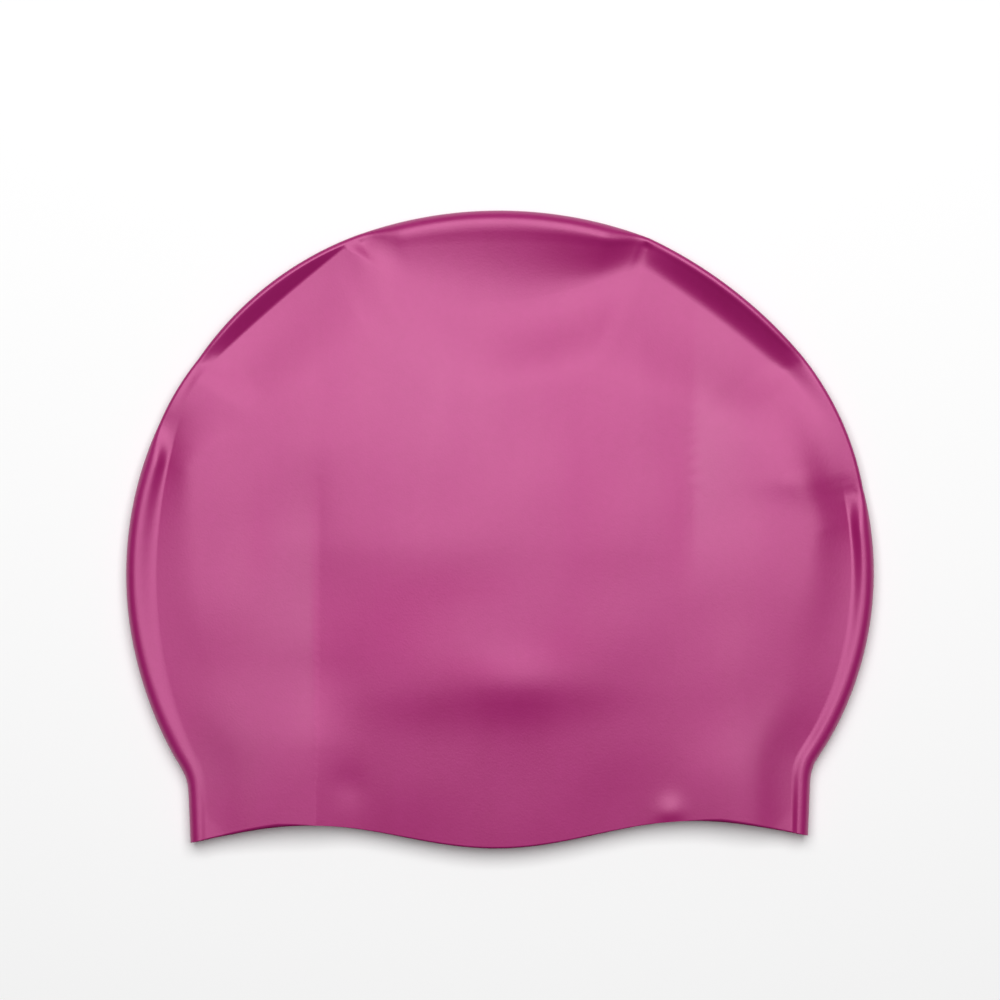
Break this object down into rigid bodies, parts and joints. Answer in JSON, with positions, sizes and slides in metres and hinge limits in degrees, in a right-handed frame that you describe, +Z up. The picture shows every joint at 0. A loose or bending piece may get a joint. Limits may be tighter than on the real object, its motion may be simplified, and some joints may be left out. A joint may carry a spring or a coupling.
{
  "type": "swim cap",
  "caption": "One-piece moulded silicone swim cap lying flat: a domed rubber pouch with a round folded rim, a short neck and a wavy hem that is open for the head.",
  "frame": {"origin": "middle of the cap's box, on the surface that the cap lies on", "axes": "+X along the hem, +Y from the hem to the crown, +Z up from the surface"},
  "size_m": [0.2248, 0.1914, 0.0125],
  "materials": {
    "silicone": "satin pearl magenta silicone rubber"
  },
  "bodies": {
    "root": {"cap": "silicone"}
  },
  "joints": []
}
